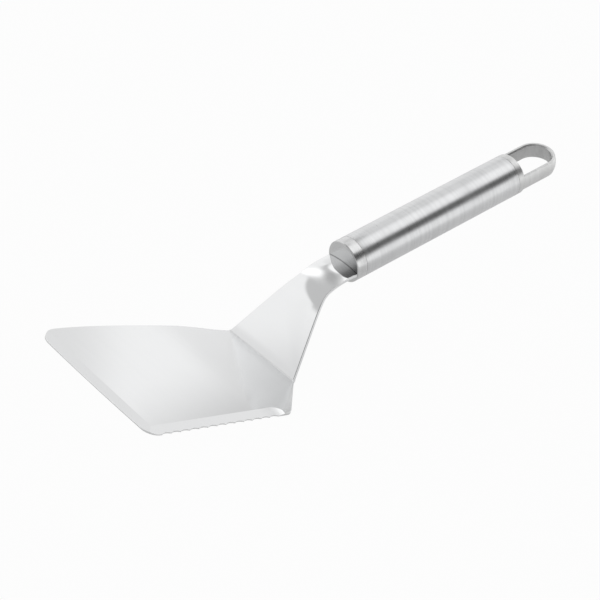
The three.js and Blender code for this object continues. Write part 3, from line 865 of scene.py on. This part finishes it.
# %% Place and sizes of the handle
HANDLE_RADIUS, BORE_RADIUS, SPIGOT_RADIUS = 10.0, 8.8, 8.5
FERRULE_LENGTH = 5.55
TUBE_LENGTH = 94.4
SEAM = 0.3
EDGE_BREAK = 0.06
CLOSER = (SEAM - SEAM_SEEN) / 2
tube_start = FERRULE_LENGTH + SEAM
tube_end = tube_start + TUBE_LENGTH
x, z, slope = bent_station(ferrule_face)
face = Vector((x - math.sin(slope) * SHEET / 2, 0, z + math.cos(slope) * SHEET / 2)) + sheet_shift
handle_place = Matrix.Translation(face * MM) @ Matrix.Rotation(-HANDLE_RISE, 4, "Y")
print("handle starts at", tuple(round(c, 2) for c in face), "mm")

# %% A small lathe
LATHE_STEPS = 144
ROUND = [2 * math.pi * i / LATHE_STEPS for i in range(LATHE_STEPS)]


def bridge(bm, rings):
    """Join each ring of corners to the next one; a ring may be a single point."""
    for first, second in zip(rings, rings[1:]):
        count = max(len(first), len(second))
        for i in range(count):
            steps = ((first, i), (first, i + 1), (second, i + 1), (second, i))
            corners = list(dict.fromkeys(ring[k % count % len(ring)] for ring, k in steps))
            bm.faces.new(corners)


def turn(bm, profile, closed=True):
    """Revolve a profile of (length, radius) points about the X axis."""
    rings = []
    for along, radius in profile:
        angles = ROUND if radius > TINY else ROUND[:1]
        ring = [(along * MM, radius * math.cos(a) * MM, radius * math.sin(a) * MM) for a in angles]
        rings.append([bm.verts.new(corner) for corner in ring])
    bridge(bm, rings + rings[:1] if closed else rings)
    bmesh.ops.recalc_face_normals(bm, faces=bm.faces)


def quarter(along, radius, size, start, end, steps=3):
    """Points of a rounded edge in a profile, between two angles in degrees."""
    points = []
    for i in range(steps + 1):
        angle = math.radians(start + (end - start) * i / steps)
        points.append((along + size * math.cos(angle), radius + size * math.sin(angle)))
    return points


print("lathe ready with", LATHE_STEPS, "steps")

# %% Turn the tube
TUBE_RINGS = 12

bm = bmesh.new()
front, rear = tube_start - CLOSER, tube_end + CLOSER
profile = [(front, BORE_RADIUS)]
profile += quarter(front + EDGE_BREAK, HANDLE_RADIUS - EDGE_BREAK, EDGE_BREAK, 180, 90)
profile += [(tube_start + TUBE_LENGTH * i / TUBE_RINGS, HANDLE_RADIUS) for i in range(1, TUBE_RINGS)]
profile += quarter(rear - EDGE_BREAK, HANDLE_RADIUS - EDGE_BREAK, EDGE_BREAK, 90, 0)
profile += [(rear, BORE_RADIUS)]
turn(bm, profile)
tube = new_piece("round_tube", bm, brushed_tube, "handle_tube", handle_place)
keep_sharp(tube, degrees=50)

# %% Turn the ferrule
FERRULE_EDGE = 0.6
FACE_RINGS = 3.0, 7.0
FERRULE_SPIGOT = 9.0

bm = bmesh.new()
rear = FERRULE_LENGTH + CLOSER
spigot_end = FERRULE_LENGTH + FERRULE_SPIGOT
profile = [(0, 0)] + [(0, radius) for radius in FACE_RINGS]
profile += quarter(FERRULE_EDGE, HANDLE_RADIUS - FERRULE_EDGE, FERRULE_EDGE, 180, 90, steps=8)
profile += quarter(rear - EDGE_BREAK, HANDLE_RADIUS - EDGE_BREAK, EDGE_BREAK, 90, 0)
profile += [(rear, SPIGOT_RADIUS), (spigot_end, SPIGOT_RADIUS), (spigot_end, 0)]
turn(bm, profile, closed=False)
ferrule = new_piece("front_plug", bm, bright_ferrule, "front_ferrule", handle_place)
print("ferrule reaches", round(spigot_end, 2), "mm into the handle")

# %% [markdown]
# ## The ferrule's slot
# The tang enters the handle through a slot that is milled into the ferrule. Drawn by hand, the slot would
# cut across all the rings of the face, so this is work for a Boolean. Its cutter follows the crowned sheet
# with a fine gap at the mouth, and is wider and straight behind it. The result is kept as a plain mesh.

# %% Shape the slot's cutter
SLOT_STEPS = 10

# length along the handle, room beside the tang, how many such rooms over and under it, crowned or not
SLOT_RINGS = [
    (-2, SEAM_SEEN, 2, True),
    (1, SEAM_SEEN, 2, True),
    (1, SEAM, 3, False),
    (20, SEAM, 3, False),
]

cutter_bm = bmesh.new()
mouth = [TANG_WIDTH * (i / SLOT_STEPS - 0.5) for i in range(SLOT_STEPS + 1)]
rings = []
for along, room, rooms, arched in SLOT_RINGS:
    spread = 1 + 2 * room / TANG_WIDTH
    above = [(y * spread, room - arched * crown(ferrule_face, y)) for y in mouth]
    below = [(y, z - SHEET - rooms * room) for y, z in reversed(above)]
    rings.append([cutter_bm.verts.new((along * MM, y * MM, z * MM)) for y, z in above + below])
bridge(cutter_bm, rings)
cutter_bm.faces.new(rings[0])
cutter_bm.faces.new(rings[-1])
bmesh.ops.recalc_face_normals(cutter_bm, faces=cutter_bm.faces)
cutter_mesh = bpy.data.meshes.new("slot_cutter")
cutter_bm.to_mesh(cutter_mesh)
cutter_bm.free()
print("cutter has", len(cutter_mesh.polygons), "faces")

# %% Cut the slot
cutter = bpy.data.objects.new("slot_cutter", cutter_mesh)
cutter.matrix_world = handle_place
scene.collection.objects.link(cutter)
slotting = ferrule.modifiers.new("tang_slot", "BOOLEAN")
slotting.object = cutter
slotting.operation = "DIFFERENCE"
bpy.context.view_layer.update()
slotted = bpy.data.meshes.new_from_object(ferrule.evaluated_get(bpy.context.evaluated_depsgraph_get()))
ferrule.modifiers.clear()
ferrule.data = slotted
bpy.data.objects.remove(cutter)
keep_sharp(ferrule, degrees=40)

# %% [markdown]
# ## The cap and its hanging loop
# The cap is turned with a round nose, and the nose is then milled to a flat plate with an eye through it.
# Booleans would copy that, but the loop is also one section swept round a U, which gives even quads and
# clean reflections: up the near arm, round the end and back down the far arm. The eye has a chamfer on
# both faces of the plate, and the outside only a fine rounding.

# %% Section of the loop
LOOP_HALF, LOOP_RIM = 3.8, 1.55
EYE_CHAMFER, LOOP_EDGE = 0.6, 0.15
OUTER_STEPS, EDGE_STEPS = 8, 6
EYE_RADIUS = math.sqrt(HANDLE_RADIUS**2 - LOOP_HALF**2) - LOOP_RIM


def loop_section():
    """Half of the loop's section as (distance from the middle, height) points, outside, top and eye."""
    side = math.asin((LOOP_HALF - LOOP_EDGE) / (HANDLE_RADIUS - LOOP_EDGE))
    centre = ((HANDLE_RADIUS - LOOP_EDGE) * math.cos(side), LOOP_HALF - LOOP_EDGE)
    points = []
    for i in range(OUTER_STEPS + 1):
        angle = side * i / OUTER_STEPS
        points.append((HANDLE_RADIUS * math.cos(angle), HANDLE_RADIUS * math.sin(angle)))
    for i in range(1, EDGE_STEPS + 1):
        angle = side + (math.pi / 2 - side) * i / EDGE_STEPS
        points.append((centre[0] + LOOP_EDGE * math.cos(angle), centre[1] + LOOP_EDGE * math.sin(angle)))
    points.append((EYE_RADIUS + EYE_CHAMFER, LOOP_HALF))
    points.append((EYE_RADIUS, LOOP_HALF - EYE_CHAMFER))
    points.append((EYE_RADIUS, 0.0))
    return points


upper = loop_section()
section = upper + [(offset, -height) for offset, height in reversed(upper[1:-1])]
print("section of", len(section), "points, eye of radius", round(EYE_RADIUS, 2), "mm")

# %% Sweep the loop
COLLAR_LENGTH, ARM_LENGTH = 3.05, 16.38
ARM_STEPS, BEND_STEPS = 6, 40
cap_start = tube_end + SEAM
collar_end = cap_start + COLLAR_LENGTH
loop_centre = collar_end + ARM_LENGTH

bm = bmesh.new()
arm = [(loop_centre - collar_end) * i / ARM_STEPS for i in range(ARM_STEPS + 1)]
sweep = [(collar_end + run, -1, 0.0) for run in arm[:-1]]
sweep += [(loop_centre, 0, -math.pi / 2 + math.pi * i / BEND_STEPS) for i in range(BEND_STEPS + 1)]
sweep += [(loop_centre - run, 1, 0.0) for run in arm[1:]]
rings = []
for along, side, angle in sweep:
    ring = []
    for offset, height in section:
        x = along + (0 if side else offset * math.cos(angle))
        y = side * offset if side else offset * math.sin(angle)
        ring.append(bm.verts.new((x * MM, y * MM, height * MM)))
    rings.append(ring)
bridge(bm, rings)
print("loop swept with", len(bm.faces), "faces")

# %% Close the collar between the arms
COLLAR_STEPS = 40

near, far = rings[0], rings[-1]
near_arc = [near[i] for i in range(-OUTER_STEPS, OUTER_STEPS + 1)]
far_arc = [far[i] for i in range(-OUTER_STEPS, OUTER_STEPS + 1)]
start_angle = math.atan2(near_arc[-1].co.z, -near_arc[-1].co.y)
top_arc, low_arc = [], []
for i in range(1, COLLAR_STEPS):
    angle = start_angle + (math.pi - 2 * start_angle) * i / COLLAR_STEPS
    corner = Vector((collar_end, -HANDLE_RADIUS * math.cos(angle), HANDLE_RADIUS * math.sin(angle))) * MM
    top_arc.append(bm.verts.new(corner))
    low_arc.append(bm.verts.new((corner.x, corner.y, -corner.z)))
rim = near_arc + top_arc + far_arc[::-1] + low_arc[::-1]
inside = slice(OUTER_STEPS, len(section) - OUTER_STEPS + 1)
bm.faces.new(top_arc + far[inside] + low_arc[::-1] + near[inside][::-1])
print("collar's rim has", len(rim), "corners")

# %% Turn the collar and its spigot
CAP_SPIGOT = 10.0

front = cap_start - CLOSER
spigot_start = cap_start - CAP_SPIGOT
collar = quarter(front + EDGE_BREAK, HANDLE_RADIUS - EDGE_BREAK, EDGE_BREAK, 90, 180)
collar += [(front, SPIGOT_RADIUS), (spigot_start, SPIGOT_RADIUS)]
rings = [rim]
for along, radius in collar:
    scale = radius / HANDLE_RADIUS
    rings.append([bm.verts.new((along * MM, v.co.y * scale, v.co.z * scale)) for v in rim])
rings.append([bm.verts.new((spigot_start * MM, 0, 0))])
bridge(bm, rings)
bmesh.ops.recalc_face_normals(bm, faces=bm.faces)
print("cap has", sum(len(e.link_faces) != 2 for e in bm.edges), "open edges")
cap = new_piece("loop_cap", bm, satin_cap, "end_cap", handle_place)
keep_sharp(cap, degrees=40)

# %% [markdown]
# ## The hidden filling
# Behind the ferrule the tang is held in a hard cast filling. It can't be seen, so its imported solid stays
# and only gets a material. A flat colour would do for a hidden piece, but anyone who takes the handle
# apart should find a dull resin with sand in it, which is noise in its colour and its relief.

# %% Give the filling its material
RESIN_DARK, RESIN_LIGHT = (0.21, 0.195, 0.17, 1), (0.34, 0.31, 0.27, 1)
SAND_SCALE, SAND_LOW, SAND_HIGH = 900.0, 0.2, 0.8
GRIT_STRENGTH, GRIT_DEPTH = 0.6, 0.1 * MM
LESS_DULL, MORE_DULL = 0.75, 0.95

cast_filling = new_material("cast_filling")
tree = cast_filling.node_tree
place = add_node(tree, "TexCoord").outputs["Object"]
sand = add_node(tree, "TexNoise", {"Vector": place, "Scale": SAND_SCALE, "Detail": 5.0}).outputs[0]
tint = blend(tree, sand, RESIN_DARK, RESIN_LIGHT)
grit = bump(tree, GRIT_DEPTH, {"Strength": GRIT_STRENGTH, "Height": sand})
dull = ease(tree, sand, SAND_LOW, SAND_HIGH, LESS_DULL, MORE_DULL)
shader = add_node(tree, "BsdfPrincipled", {"Base Color": tint, "Roughness": dull, "Normal": grit})
add_node(tree, "OutputMaterial", {"Surface": shader.outputs[0]})
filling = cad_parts["tang_cement"]
filling.data.materials.clear()
filling.data.materials.append(cast_filling)
print("filling dressed")
